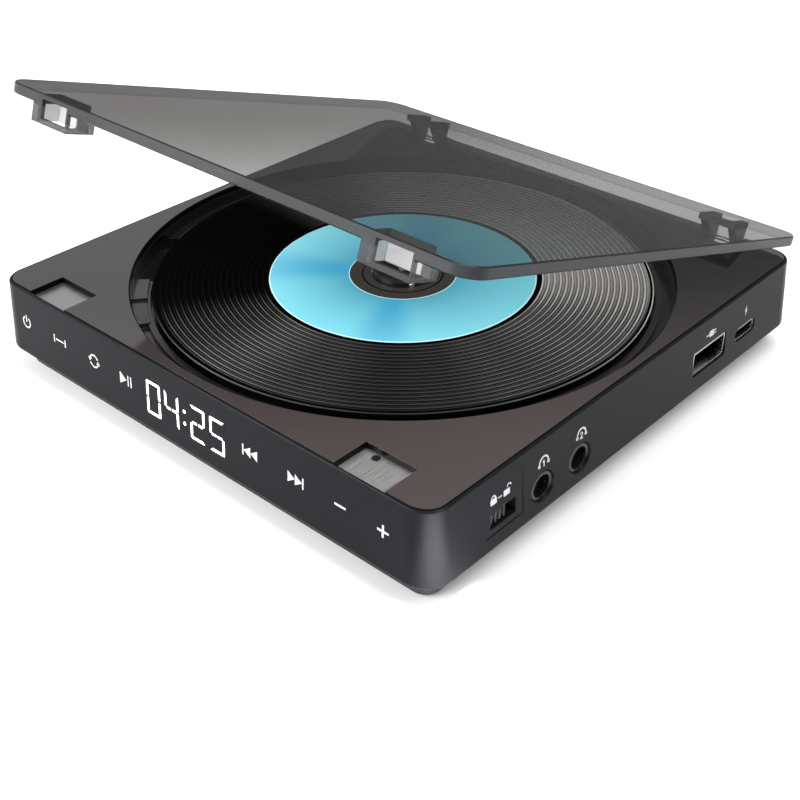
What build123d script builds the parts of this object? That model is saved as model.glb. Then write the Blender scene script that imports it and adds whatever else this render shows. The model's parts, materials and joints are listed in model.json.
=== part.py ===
"""Portable disc player with a smoked lid: one STEP file per sub-part, in millimetres.

+Z is up, the key face looks along -Y, the sockets face +X and the lid hinges at +Y.
The model is first built about the case's centre line, with the lid closed. The lid
pieces are then turned to the rest opening, and everything is moved so that the
origin lies at the bottom centre of the whole object's box.
"""
from build123d import *
import math
import os

# ---------------------------------------------------------------- driving sizes
case_side = 136.0          # square case, at its top edge
case_corner = 5.5
foot_height = 0.7          # feet below the bottom cover
case_bottom = 5.8          # lower edge of the side walls
deck_top = 23.7
deck_thickness = 1.4
wall = 1.5
wall_draft = 1.1           # how far the walls spread, from top to bottom
well_radius = 64.9

disc_radius = 60.0
disc_hole = 7.5
disc_thickness = 1.2
disc_top = 21.8
floor_top = 17.9
floor_bottom = 16.7
scoop_floor = 16.3
scoop_top = deck_top - 2.0

lid_width = 135.7
lid_depth = 134.6
lid_thickness = 2.5
lid_corner = 5.6
lid_gap = 2.85             # lid underside above the deck when it is shut
lid_front = -66.7
rest_opening = 18.3        # degrees from shut

hinge_y = 66.2
hinge_z = deck_top - 1.3
hinge_pin_r = 0.6
hinge_x = 49.0             # centre of each hinge
catch_x = 49.85            # centre of each lid catch and its pocket

jack_y = (-34.4, -21.8)
jack_z = 12.1
jack_bore = 1.8
data_port_y = 28.85
data_port_z = 13.6
charge_port_y = 45.0
charge_port_z = 12.9
switch_y0, switch_y1 = -51.1, -43.1
switch_z0, switch_z1 = 11.2, 14.8
knob_length = 5.2
window_x0, window_x1 = -13.9, 12.9
window_z0, window_z1 = 9.8, 19.3
key_x = (-54.6, -45.0, -31.9, -20.3, 20.3, 33.4, 45.8, 54.6)
key_z = 15.2

lens_home = 23.5           # lens distance from the spindle at rest
rod_y = 15.5
rod_z = 12.4
rod_r = 1.0
screw_y = 19.6
screw_z = 8.6
screw_r = 1.2

chassis_bottom, chassis_top = 14.6, 16.0
board_bottom, board_top = 7.0, 8.2
running_gap = 0.05         # radial, shaft in bearing
seat_gap = 0.02            # radial, fixed pin in its seat

case_top = deck_top - 0.15
cover_bottom = foot_height
cover_top = cover_bottom + 1.6
cover_half = 65.2          # the bottom cover is set back from the walls
lip_top = 7.2              # lip round the bottom of the walls, which takes the cover's rim
inner_half = case_side / 2 - wall
deck_bottom = deck_top - deck_thickness
lid_bottom = deck_top + lid_gap
lid_top = lid_bottom + lid_thickness
disc_bottom = disc_top - disc_thickness

parts = {}
lid_parts = {}


# ---------------------------------------------------------------- small helpers
def slab(x0, x1, y0, y1, z0, z1):
    """A box between two corners."""
    return Pos((x0 + x1) / 2, (y0 + y1) / 2, (z0 + z1) / 2) * Box(x1 - x0, y1 - y0, z1 - z0)


def post(x, y, z0, z1, r):
    """A cylinder along Z."""
    return Pos(x, y, (z0 + z1) / 2) * Cylinder(r, z1 - z0)


def shaft(x0, x1, y, z, r):
    """A cylinder along X."""
    return Pos((x0 + x1) / 2, y, z) * Rot(0, 90, 0) * Cylinder(r, x1 - x0)


def plate(width, depth, corner, z0, z1):
    """A flat plate with rounded corners, centred on the case."""
    return extrude(Pos(0, 0, z0) * RectangleRounded(width, depth, corner), amount=z1 - z0)


def stacked(sections):
    """A solid through rounded squares, each given as (z, half side, corner radius)."""
    return loft([Pos(0, 0, z) * RectangleRounded(2 * half, 2 * half, r) for z, half, r in sections], ruled=True)


def square(half, corner, z0, z1):
    """An upright rounded square block, centred on the case."""
    return plate(2 * half, 2 * half, corner, z0, z1)


def face_at(z):
    """Distance of the case's outer wall from the centre, at height z."""
    return case_side / 2 + (case_top - z) * wall_draft / (case_top - case_bottom)


def sector(r0, r1, angle0, angle1, z0, z1):
    """A block of a ring between two angles in degrees."""
    middle = math.radians((angle0 + angle1) / 2)
    ends = [math.radians(a) for a in (angle0, angle1)]
    outline = Wire([
        ThreePointArc(*[(r1 * math.cos(a), r1 * math.sin(a)) for a in (ends[0], middle, ends[1])]),
        Line((r1 * math.cos(ends[1]), r1 * math.sin(ends[1])), (r0 * math.cos(ends[1]), r0 * math.sin(ends[1]))),
        ThreePointArc(*[(r0 * math.cos(a), r0 * math.sin(a)) for a in (ends[1], middle, ends[0])]),
        Line((r0 * math.cos(ends[0]), r0 * math.sin(ends[0])), (r1 * math.cos(ends[0]), r1 * math.sin(ends[0]))),
    ])
    return extrude(Pos(0, 0, z0) * make_face(outline), amount=z1 - z0)


def pill_x(x0, x1, y, z, width, height, corner):
    """A rounded rectangular bar along X."""
    return extrude(Plane(origin=(x0, y, z), x_dir=(0, 1, 0), z_dir=(1, 0, 0))
                   * RectangleRounded(width, height, corner), amount=x1 - x0)


def both_sides(make):
    """The same piece at the left and at the right."""
    return [make(-1), make(1)]


corners = [(sx, sy) for sx in (-1, 1) for sy in (-1, 1)]


# ---------------------------------------------------------------- case shells
boss_at = 61.2
boss_r = 2.5
case_screw_r = 1.0
base_round = 0.8
bracket_half = 7.0
bracket_front = 58.2
bracket_bottom = 18.9


def case_body():
    """Side walls with the socket openings, screw bosses and the deck's seat."""
    sections = []
    for k in range(6):
        angle = math.radians(18 * k)
        z = case_bottom + base_round * (1 - math.cos(angle))
        inset = base_round * (1 - math.sin(angle))
        half = face_at(z) - inset
        sections.append((z, half, case_corner + half - case_side / 2))
    sections.append((case_top - 0.3, face_at(case_top - 0.3), case_corner))
    sections.append((case_top, case_side / 2 - 0.3, case_corner - 0.3))
    body = stacked(sections)
    body -= square(inner_half, case_corner - wall, lip_top, deck_bottom - 0.05)
    body -= square(cover_half + 0.1, 3.7, case_bottom - 1, lip_top + 1)
    body -= plate(134.8, 134.8, 4.9, deck_bottom - 0.05, case_top + 1)
    for sx, sy in corners:
        boss = post(sx * boss_at, sy * boss_at, cover_top + 0.05, deck_bottom - 0.1, boss_r)
        web = Pos(sx * (boss_at + 2.3), sy * (boss_at + 2.3), 14.75) * Box(4.6, 4.6, 14.9)
        boss += web & square(inner_half + 0.5, case_corner - wall, lip_top, deck_bottom - 0.1)
        body += boss
    for sx, sy in corners:
        body -= post(sx * boss_at, sy * boss_at, 0, 9.6, case_screw_r + seat_gap)
    for side in (-1, 1):
        middle = side * hinge_x
        body -= slab(middle - bracket_half - 0.05, middle + bracket_half + 0.05,
                     bracket_front, 70, bracket_bottom - 0.05, case_top + 1)
    for y in jack_y:
        body -= shaft(60, 70, y, jack_z, 3.4)
        cone = Pos(face_at(jack_z) - 0.25, y, jack_z) * Rot(0, 90, 0) * Cone(3.4, 3.9, 0.7)
        body -= cone
    body -= pill_x(60, 70, data_port_y, data_port_z, 14.1, 6.3, 0.8)
    body -= pill_x(60, 70, charge_port_y, charge_port_z, 9.24, 3.5, 1.74)
    body -= slab(60, 70, switch_y0, switch_y1, switch_z0, switch_z1)
    groove = 0.35
    depth_x = face_at(14) - 0.5
    body -= slab(depth_x, 71, -40.7 - groove, -40.7, 9.5, 20.6)
    body -= slab(depth_x, 71, -52.5, -40.7, 9.5, 9.5 + groove)
    body -= slab(window_x0 - 0.05, window_x1 + 0.05, -70, -60, window_z0 - 0.05, window_z1 + 0.05)
    return body


def deck_cover():
    """Glossy top panel with the disc opening, two catch pockets and hinge notches."""
    panel = plate(134.6, 134.6, 4.8, deck_bottom, deck_top)
    panel = chamfer(panel.edges().group_by(Axis.Z)[-1], 0.15)
    panel -= post(0, 0, 0, 40, well_radius)
    rim = panel.edges().filter_by(GeomType.CIRCLE).group_by(Axis.Z)[-1]
    panel = chamfer([e for e in rim if e.radius > 60], 0.3)
    for side in (-1, 1):
        panel -= slab(side * catch_x - 6.65, side * catch_x + 6.65, -70, -58.2, 0, 40)
        panel -= slab(side * hinge_x - bracket_half - 0.05, side * hinge_x + bracket_half + 0.05,
                      bracket_front - 0.05, 70, 0, 40)
    return panel


def disc_well():
    """Round well under the disc: outer wall, trough, raised ring and a finger scoop at the left."""
    inner = [(well_radius, deck_bottom - 0.05), (well_radius, 19.2), (62.0, 19.2), (62.0, 20.1),
             (60.5, 20.1), (60.5, floor_top), (0, floor_top)]
    outer = [(0, floor_bottom), (62.1, floor_bottom), (62.1, 18.5), (65.9, 18.5), (65.9, deck_bottom - 0.05)]
    profile = Plane.XZ * make_face(Polyline(inner + outer, close=True))
    well = revolve(profile, axis=Axis.Z)
    well += sector(65.4, 67.4, -161.5, -135.5, scoop_floor - 1.1, deck_bottom - 0.05)
    well += sector(58.6, 65.5, -161.5, -135.5, scoop_floor - 1.1, 18.7)
    well += sector(61.1, 65.3, -136.5, -127.8, 17.5, 21.0)
    well += sector(61.3, 65.2, -128.3, -118, 17.6, 20.4)
    well -= sector(59.2, 66.3, -156.5, -137, scoop_floor, scoop_top)
    end = math.radians(-156.5)
    scoop = Pos(63.0 * math.cos(end), 63.0 * math.sin(end), 18.0) * Sphere(3.6)
    well -= scoop & slab(-80, 0, -80, 0, scoop_floor, 30)
    well -= post(0, 0, 0, 40, 16.5)
    well -= slab(-60.2, -16, -5.2, 5.2, 0, 18.5)
    return well


def bottom_cover():
    """Bottom tray with foot recesses, screw counterbores and mechanism posts."""
    cover = square(cover_half, 3.6, cover_bottom, 6.9)
    cover = chamfer(cover.edges().group_by(Axis.Z)[0], 0.3)
    cover -= square(cover_half - 1.2, 2.4, cover_top, 8)
    for x, y in mechanism_posts:
        cover += post(x, y, cover_top, 12.6, 2.3)
    for x, y in mechanism_posts:
        cover -= post(x, y, 8.6, 13, 1.2 + seat_gap)
    for y in (-44.0, 0.0, 44.0):
        cover += post(board_screw_x, y, cover_top, board_bottom, 2.4)
    for y in (-44.0, 0.0, 44.0):
        cover -= post(board_screw_x, y, 3.4, board_bottom + 1, 0.9 + seat_gap)
    for sx, sy in corners:
        cover -= post(sx * boss_at, sy * boss_at, 0, 3, case_screw_r + 0.1)
        cover -= post(sx * boss_at, sy * boss_at, 0, cover_bottom + 1.1, 2.2)
        cover -= post(sx * foot_at, sy * foot_at, 0, cover_bottom + 0.35, foot_r + 0.05)
    for x0 in (-26.5, 26.5):
        for k in range(6):
            y = -38.0 + 3.2 * k
            cover -= slab(x0 - 9, x0 + 9, y - 0.6, y + 0.6, 0, 5)
    return cover


foot_at = 55.0
foot_r = 4.6
board_screw_x = 38.5
mechanism_posts = [(x, sy * 24.5) for x in (-50.0, 22.0) for sy in (-1, 1)]


def feet():
    """Four soft round feet."""
    solids = []
    for sx, sy in corners:
        pad = post(sx * foot_at, sy * foot_at, 0, cover_bottom + 0.33, foot_r)
        solids.append(chamfer(pad.edges().group_by(Axis.Z)[0], 0.3))
    return solids


def case_screws():
    """Four countersunk case screws with cross recesses."""
    solids = []
    for sx, sy in corners:
        x, y = sx * boss_at, sy * boss_at
        screw = post(x, y, cover_bottom + 0.1, cover_bottom + 1.08, 2.1)
        screw += post(x, y, cover_bottom + 1.0, 9.2, case_screw_r)
        for turn in (0, 90):
            screw -= Pos(x, y, cover_bottom) * Rot(0, 0, turn) * Box(2.4, 0.5, 1.2)
        solids.append(screw)
    return solids


def display_window():
    """Smoked insert in the key face, in front of the display."""
    insert = slab(window_x0, window_x1, -70, -60, window_z0, window_z1)
    insert &= stacked([(case_bottom, face_at(case_bottom), case_corner), (case_top, case_side / 2, case_corner)])
    return insert & slab(-20, 20, -70, -inner_half, 0, 30)


def catch_plates():
    """Bright floor plates of the two catch pockets."""
    solids = []
    for side in (-1, 1):
        floor = slab(side * catch_x - 7.6, side * catch_x + 7.6, -66.4, -57.2, deck_bottom - 0.62, deck_bottom - 0.02)
        if side > 0:
            floor -= post(sensor_x, sensor_y, 0, 40, sensor_r + seat_gap)
        solids.append(floor)
    return solids


sensor_x, sensor_y, sensor_r = 47.0, -59.6, 0.9


def lid_sensor():
    """Small round sensor that looks up at the right-hand lid catch."""
    return post(sensor_x, sensor_y, deck_bottom - 2.6, deck_bottom + 0.1, sensor_r)


def hinge_bracket(side):
    """U-shaped pocket that carries one hinge pin."""
    middle = side * hinge_x
    block = slab(middle - bracket_half, middle + bracket_half, bracket_front, 67.75, bracket_bottom, deck_top)
    block -= slab(middle - 5.2, middle + 5.2, 60.0, 70, 20.2, 40)
    return block - shaft(middle - 8, middle + 8, hinge_y, hinge_z, hinge_pin_r + seat_gap)


def hinge_pins():
    """Two steel pins across the brackets."""
    length = bracket_half - 0.15
    return both_sides(lambda side: shaft(side * hinge_x - length, side * hinge_x + length, hinge_y, hinge_z, hinge_pin_r))


# ---------------------------------------------------------------- lid, drawn shut
hook_half = 6.35
hook_depth = 7.4
hook_bottom = deck_bottom + 0.1
hook_wall = 0.9
arm_half = 4.8
arm_window = (-2.5, 2.9)   # open span between an arm's cheeks, from its middle


def lid_panel():
    """Smoked plate with a hollow, windowed catch under each front end."""
    middle = lid_front + lid_depth / 2
    panel = Pos(0, middle, 0) * plate(lid_width, lid_depth, lid_corner, lid_bottom, lid_top)
    panel = chamfer(panel.edges().group_by(Axis.Z)[-1] + panel.edges().group_by(Axis.Z)[0], 0.25)
    for side in (-1, 1):
        x0, x1 = side * catch_x - hook_half, side * catch_x + hook_half
        panel += slab(x0, x1, lid_front, lid_front + hook_depth, hook_bottom, lid_bottom + 0.6)
        panel -= slab(x0 + hook_wall, x1 - hook_wall, lid_front + hook_wall, lid_front + hook_depth - hook_wall,
                      hook_bottom - 1, lid_top - 0.5)
        panel -= slab(x0 + 3.3, x1 - 0.6, lid_front - 1, lid_front + 3.0, hook_bottom + 1.2, lid_top - 1.2)
        panel -= slab(x1 - 2, x1 + 1, lid_front + 0.9, lid_front + 3.0, hook_bottom + 1.2, lid_bottom - 0.3)
        arm = side * hinge_x
        panel -= slab(arm - arm_half - 0.05, arm + arm_half + 0.05, 59.5, 70, lid_bottom - 1, lid_bottom + 1.6)
    return panel


def hinge_arm(side):
    """Dark arm let into the lid's underside, with two cheeks that straddle the pin."""
    middle = side * hinge_x
    base = slab(middle - arm_half, middle + arm_half, 59.6, 67.7, lid_bottom - 0.02, lid_bottom + 1.55)
    base -= slab(middle + arm_window[0], middle + arm_window[1], 62.0, 70, lid_bottom - 1, lid_bottom + 3)
    outline = Polyline([(60.6, lid_bottom + 0.2), (hinge_y - 1.3, hinge_z - 0.75), (hinge_y + 1.3, hinge_z - 0.75),
                        (67.6, lid_bottom + 0.2)], close=True)
    arm = base
    for x0, x1 in ((-arm_half, arm_window[0]), (arm_window[1], arm_half)):
        face = Plane(origin=(middle + x0, 0, 0), x_dir=(0, 1, 0), z_dir=(1, 0, 0)) * make_face(outline)
        arm += extrude(face, amount=x1 - x0)
        arm += shaft(middle + x0, middle + x1, hinge_y, hinge_z, 1.5)
    return arm - shaft(middle - 8, middle + 8, hinge_y, hinge_z, hinge_pin_r + running_gap)


# ---------------------------------------------------------------- disc drive
def chassis():
    """Pressed mechanism plate with rod, screw and motor supports."""
    frame = slab(-62.0, 26.0, -28.5, 28.5, chassis_bottom, chassis_top)
    frame = fillet(frame.edges().filter_by(Axis.Z), 2.0)
    for sy in (-1, 1):
        for x0, x1 in ((-62.0, -59.5), (-13.0, -10.5)):
            frame += slab(x0, x1, sy * rod_y - 2, sy * rod_y + 2, rod_z - 1.9, chassis_bottom)
            frame -= shaft(x0 - 1, x1 + 1, sy * rod_y, rod_z, rod_r + seat_gap)
    frame += slab(-62.0, -59.5, screw_y - 1.9, screw_y + 1.9, screw_z - 1.9, chassis_bottom)
    frame -= shaft(-63, -58, screw_y, screw_z, screw_r + running_gap)
    frame -= slab(-63.0, -15.0, -7.5, 7.5, 10, 20)
    frame -= sector(57.0, 75.0, -163.3, -100, chassis_bottom - 1, 20)
    frame -= post(0, 0, 0, 40, 4.5)
    for x, y in mechanism_posts:
        frame -= post(x, y, 0, 40, 1.4)
    return frame


def dampers():
    """Four soft rings between the posts and the mechanism plate."""
    return [post(x, y, 12.6, chassis_bottom, 3.2) - post(x, y, 12, 15, 1.5) for x, y in mechanism_posts]


def mechanism_screws():
    """Four pan-head screws that hold the mechanism plate."""
    solids = []
    for x, y in mechanism_posts:
        screw = post(x, y, chassis_top, chassis_top + 0.6, 2.4) + post(x, y, 9.0, chassis_top, 1.2)
        solids.append(screw - Pos(x, y, chassis_top + 0.6) * Box(2.6, 0.5, 0.5))
    return solids


def spindle_motor():
    """Flat disc motor under the plate."""
    can = post(0, 0, 7.4, chassis_bottom - 0.02, 12.0)
    can = chamfer(can.edges().group_by(Axis.Z)[0], 0.8)
    can += post(0, 0, chassis_bottom - 0.02, 15.6, 4.2)
    return can - post(0, 0, 8.2, 20, 1.0 + running_gap)


ball_count = 3
ball_r = 0.8
ball_ring = 6.8
ball_z = disc_top + 0.3
hub_top = 23.3


def ball_angle(k):
    """Direction of one chuck ball, in degrees."""
    return 90 + 360 / ball_count * k


def turntable_hub():
    """Disc table with a centring boss and three radial ball pockets."""
    hub = post(0, 0, 16.2, 18.6, 5.0) + post(0, 0, 18.6, 20.2, 15.4)
    hub += post(0, 0, 20.2, hub_top, 7.35)
    hub = chamfer(hub.edges().group_by(Axis.Z)[-1], 0.5)
    hub -= post(0, 0, 0, 23.6, 1.0 + seat_gap)
    hub -= post(0, 0, hub_top - 0.5, 30, 3.2)
    for k in range(ball_count):
        pocket = Pos(7, 0, ball_z) * Rot(0, 90, 0) * Cylinder(ball_r + running_gap, 5.0)
        hub -= Rot(0, 0, ball_angle(k)) * pocket
    return hub


def friction_ring():
    """Soft ring that carries the disc."""
    return post(0, 0, 20.2, disc_bottom - 0.01, 15.2) - post(0, 0, 20, 21, 11.0)


def chuck_ball(k):
    """One of the sprung steel balls that hold the disc down."""
    angle = math.radians(ball_angle(k))
    return Pos(ball_ring * math.cos(angle), ball_ring * math.sin(angle), ball_z) * Sphere(ball_r)


def disc():
    """A 120 mm disc with its stacking ring."""
    body = post(0, 0, disc_bottom, disc_top, disc_radius) - post(0, 0, 0, 40, disc_hole)
    body = chamfer(body.edges().filter_by(GeomType.CIRCLE).group_by(Axis.Z)[-1], 0.15)
    ring = post(0, 0, disc_bottom - 0.2, disc_bottom + 0.1, 17.5) - post(0, 0, 0, 40, 16.6)
    return body + ring


def pickup_sled():
    """Optical block that runs on the two rods."""
    x = -lens_home
    sled = slab(x - 5.5, x + 8, -12, 12, 10.4, 14.4)
    for sy in (-1, 1):
        sled += slab(x - 1, x + 8, sy * 15 - 3, sy * 15 + 3, 10.4, 14.4)
        sled -= shaft(x - 2, x + 9, sy * rod_y, rod_z, rod_r + running_gap)
    sled += post(x, 0, 14.4, 16.6, 4.0)
    return sled - post(x, 0, 15.0, 20, 3.2)


def pickup_lens():
    """Lens in its moving holder."""
    holder = post(-lens_home, 0, 15.6, 18.2, 2.9) + post(-lens_home, 0, 18.2, 18.7, 2.2)
    return fillet(holder.edges().group_by(Axis.Z)[-1], 0.4)


def sled_nut():
    """Half nut under the sled's arm, on the lead screw."""
    x = -lens_home
    nut = slab(x, x + 8, 15.0, 21.6, 6.8, 10.38)
    return nut - shaft(x - 1, x + 9, screw_y, screw_z, screw_r + 0.1)


def sled_motor():
    """Small can motor that turns the lead screw."""
    can = shaft(-10.3, 4.7, screw_y, screw_z, 4.4)
    can = chamfer(can.edges().group_by(Axis.X)[-1], 0.6)
    return can - shaft(-11, -4.4, screw_y, screw_z, screw_r + running_gap)


# ---------------------------------------------------------------- electronics and sockets
def jack(y):
    """Stereo socket with a round collar and a blind bore for a 3.5 mm plug."""
    body = slab(51.4, 65.6, y - 3.7, y + 3.7, board_top, jack_z + 3.1)
    body += shaft(65.6, face_at(jack_z) - 0.35, y, jack_z, 3.3)
    body -= shaft(52.0, 70, y, jack_z, jack_bore)
    return body - shaft(66.0, 70, y, jack_z, 2.6)


def port_shell(y, z, width, height, corner, thickness, x0, x1):
    """Pressed metal shell of a socket, closed at the back, with legs on the board."""
    shell = pill_x(x0, x1, y, z, width, height, corner)
    shell -= pill_x(x0 + thickness, x1 + 1, y, z, width - 2 * thickness, height - 2 * thickness, corner - thickness)
    for side in (-1, 1):
        for x in (x0 + 1.5, x1 - 3.5):
            leg = slab(x, x + 1.2, y + side * (width / 2 - 2.6) - 0.4, y + side * (width / 2 - 2.6) + 0.4,
                       board_top, z - height / 2 + 0.15)
            shell += leg
    return shell


def main_board():
    """Main circuit board under the sockets."""
    board = slab(34.0, 64.3, -55.0, 55.0, board_bottom, board_top)
    for y in (-44.0, 0.0, 44.0):
        board -= post(board_screw_x, y, 0, 20, 1.1)
    return board


def board_screws():
    """Three screws that hold the main board."""
    return [post(board_screw_x, y, board_top, board_top + 1.0, 1.9) + post(board_screw_x, y, 3.8, board_top, 0.9)
            for y in (-44.0, 0.0, 44.0)]


def board_chips():
    """Processor, amplifier and memory packages."""
    sizes = [(45.0, -8.0, 12.0, 1.4), (45.0, 12.0, 9.0, 1.2), (44.0, -30.0, 7.0, 1.2)]
    return [slab(x - s / 2, x + s / 2, y - s / 2, y + s / 2, board_top, board_top + h) for x, y, s, h in sizes]


def capacitors():
    """Upright smoothing capacitors."""
    return [post(x, y, board_top, board_top + 5.4, 2.5) for x, y in ((41.0, 24.0), (41.0, 31.0), (47.5, 42.5))]


def battery():
    """Flat rechargeable pack with soft edges."""
    pack = slab(-57.0, 5.0, 32.0, 60.0, cover_top + 0.3, 9.4)
    return fillet(pack.edges().filter_by(Axis.X), 1.6)


def touch_board():
    """Key sensor board behind the front wall, with a cut-out for the display."""
    board = slab(-57.5, 57.5, -65.45, -64.65, lip_top + 0.2, 18.2)
    return board - slab(window_x0 - 0.2, window_x1 + 0.2, -70, -60, window_z0 - 0.4, 20)


def touch_pads():
    """Eight round key electrodes on the sensor board."""
    return [Pos(x, -64.5, key_z) * Rot(90, 0, 0) * Cylinder(2.6, 0.25) for x in key_x]


def led_display():
    """Four-digit display block."""
    block = slab(window_x0 + 0.2, window_x1 - 0.2, -65.2, -62.5, window_z0, 18.35)
    return chamfer(block.edges().group_by(Axis.Y)[0], 0.3)


def switch_body():
    """Slide switch on the board behind the lock knob."""
    body = slab(58.6, 63.4, switch_y0 - 0.3, switch_y1 + 0.3, board_top, switch_z1 + 0.4)
    return body - slab(62.0, 64, switch_y0 + 0.5, switch_y1 - 0.5, switch_z0 + 0.7, switch_z1 - 0.7)


def switch_knob():
    """Ribbed thumb slide, shown at its unlocked end."""
    y0 = switch_y0 + 0.25
    y1 = y0 + knob_length
    outer = face_at(switch_z1) - 0.75
    knob = slab(65.0, outer, y0, y1, switch_z0 + 0.15, switch_z1 - 0.15)
    for k in range(4):
        y = y0 + 0.65 + 1.3 * k
        knob += slab(outer - 0.1, outer + 0.45, y - 0.25, y + 0.25, switch_z0 + 0.5, switch_z1 - 0.5)
    knob += slab(63.9, 65.1, y0 - 1.5, y1 + 1.5, switch_z0 - 1.2, switch_z1 + 1.2)
    return knob + slab(62.3, 64.0, y0 + 1.6, y1 - 1.6, switch_z0 + 1.1, switch_z1 - 1.1)


def flex_cable():
    """Flat cable from the mechanism plate to the main board."""
    run = slab(15.0, 38.0, 12.0, 22.0, board_top + 0.02, board_top + 0.3)
    return run + slab(15.0, 15.28, 12.0, 22.0, board_top + 0.02, chassis_bottom - 0.05)


# ---------------------------------------------------------------- assembly
def build():
    """Fill the table of parts, in the case-centred frame."""
    parts["case_body"] = case_body()
    parts["deck_cover"] = deck_cover()
    parts["disc_well"] = disc_well()
    parts["bottom_cover"] = bottom_cover()
    parts["feet"] = feet()
    parts["case_screws"] = case_screws()
    parts["display_window"] = display_window()
    parts["catch_plates"] = catch_plates()
    parts["lid_sensor"] = lid_sensor()
    parts["left_hinge_bracket"] = hinge_bracket(-1)
    parts["right_hinge_bracket"] = hinge_bracket(1)
    parts["hinge_pins"] = hinge_pins()

    lid_parts["lid_panel"] = lid_panel()
    lid_parts["left_hinge_arm"] = hinge_arm(-1)
    lid_parts["right_hinge_arm"] = hinge_arm(1)

    parts["mechanism_chassis"] = chassis()
    parts["isolation_dampers"] = dampers()
    parts["mechanism_screws"] = mechanism_screws()
    parts["spindle_motor"] = spindle_motor()
    parts["spindle_shaft"] = post(0, 0, 8.6, 23.0, 1.0)
    parts["turntable_hub"] = turntable_hub()
    parts["friction_ring"] = friction_ring()
    for k in range(ball_count):
        parts[f"chuck_ball_{k + 1}"] = chuck_ball(k)
    parts["disc"] = disc()
    parts["guide_rods"] = [shaft(-61.5, -11.0, sy * rod_y, rod_z, rod_r) for sy in (-1, 1)]
    parts["pickup_sled"] = pickup_sled()
    parts["pickup_lens"] = pickup_lens()
    parts["sled_nut"] = sled_nut()
    parts["lead_screw"] = shaft(-61.4, -5.0, screw_y, screw_z, screw_r)
    parts["sled_motor"] = sled_motor()

    for k, y in enumerate(jack_y):
        parts[f"headphone_jack_{k + 1}"] = jack(y)
    port_face = face_at(data_port_z) - 0.25
    parts["data_port_shell"] = port_shell(data_port_y, data_port_z, 13.7, 5.9, 0.7, 0.4, 53.5, port_face)
    parts["data_port_tongue"] = slab(53.95, port_face - 2.8, data_port_y - 5.6, data_port_y + 5.6,
                                     data_port_z + 0.3, data_port_z + 2.1)
    port_face = face_at(charge_port_z) - 0.3
    parts["charge_port_shell"] = port_shell(charge_port_y, charge_port_z, 8.94, 3.2, 1.58, 0.3, 60.0, port_face)
    parts["charge_port_tongue"] = slab(60.35, port_face - 1.0, charge_port_y - 3.3, charge_port_y + 3.3,
                                       charge_port_z - 0.35, charge_port_z + 0.35)
    parts["main_board"] = main_board()
    parts["board_screws"] = board_screws()
    parts["board_chips"] = board_chips()
    parts["capacitors"] = capacitors()
    parts["battery"] = battery()
    parts["touch_board"] = touch_board()
    parts["touch_pads"] = touch_pads()
    parts["led_display"] = led_display()
    parts["hold_switch_body"] = switch_body()
    parts["hold_switch_knob"] = switch_knob()
    parts["flex_cable"] = flex_cable()


def as_compound(shape):
    """One compound from a solid or a list of solids."""
    if isinstance(shape, list):
        return Compound(children=[s.solid() for s in shape])
    return Compound(children=shape.solids())


build()
hinge_axis = Axis((0, hinge_y, hinge_z), (-1, 0, 0))
for name, shape in lid_parts.items():
    parts[name] = shape.rotate(hinge_axis, rest_opening)

compounds = {name: as_compound(shape) for name, shape in parts.items()}
boxes = [c.bounding_box() for c in compounds.values()]
y_shift = -(min(b.min.Y for b in boxes) + max(b.max.Y for b in boxes)) / 2

os.makedirs("parts", exist_ok=True)
for name, compound in compounds.items():
    export_step(Pos(0, y_shift, 0) * compound, f"parts/{name}.step")
print(f"{len(compounds)} nodes, moved {y_shift:.4f} mm along Y")
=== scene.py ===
import json
import math

import bmesh
import bpy
from mathutils import Matrix, Vector


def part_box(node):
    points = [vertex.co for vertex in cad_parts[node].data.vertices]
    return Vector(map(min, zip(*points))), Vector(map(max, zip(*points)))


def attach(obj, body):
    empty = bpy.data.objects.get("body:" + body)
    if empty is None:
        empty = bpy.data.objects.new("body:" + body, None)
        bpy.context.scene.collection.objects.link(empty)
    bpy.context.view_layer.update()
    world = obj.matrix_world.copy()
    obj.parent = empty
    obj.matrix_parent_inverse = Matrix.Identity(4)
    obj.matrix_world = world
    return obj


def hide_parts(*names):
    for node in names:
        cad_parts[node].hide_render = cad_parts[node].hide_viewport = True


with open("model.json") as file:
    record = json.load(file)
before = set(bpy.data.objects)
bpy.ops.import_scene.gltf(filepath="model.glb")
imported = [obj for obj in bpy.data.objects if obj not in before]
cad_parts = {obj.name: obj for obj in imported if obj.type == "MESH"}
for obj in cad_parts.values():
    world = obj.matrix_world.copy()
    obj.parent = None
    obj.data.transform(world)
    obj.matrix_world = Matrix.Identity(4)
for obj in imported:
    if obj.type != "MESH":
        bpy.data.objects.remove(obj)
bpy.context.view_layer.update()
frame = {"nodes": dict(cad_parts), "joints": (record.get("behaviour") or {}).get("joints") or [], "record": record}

nodes = frame["nodes"]

# ---------------------------------------------------------------- driving sizes, in mm
MM = 0.001
WALL_HEIGHT = 17.75                                # of the drafted case walls
WALL_SPREAD = 1.1                                  # how far a wall leans out over that height
DECK_INSET = 0.7                                   # from the case's top edge in to the deck's edge
LID_THICKNESS = 2.5
PAINTED_LIGHT_X, PAINTED_LIGHT_Y = 52, -40                         # place on the lid where its tint is lightest: painted light
CATCH_X = 49.85                                    # from the lid's middle to the middle of a catch
CATCH_WINDOW = 5.7                                 # half the width of a catch's window
CATCH_FRONT = 1.1                                  # from the lid's front edge back to that window
SOCKET_Z = 13.0                                    # height at which the sockets meet the wall
SOCKET_SHADE = 2.6                                 # depth at which a socket's shell is dark

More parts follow.
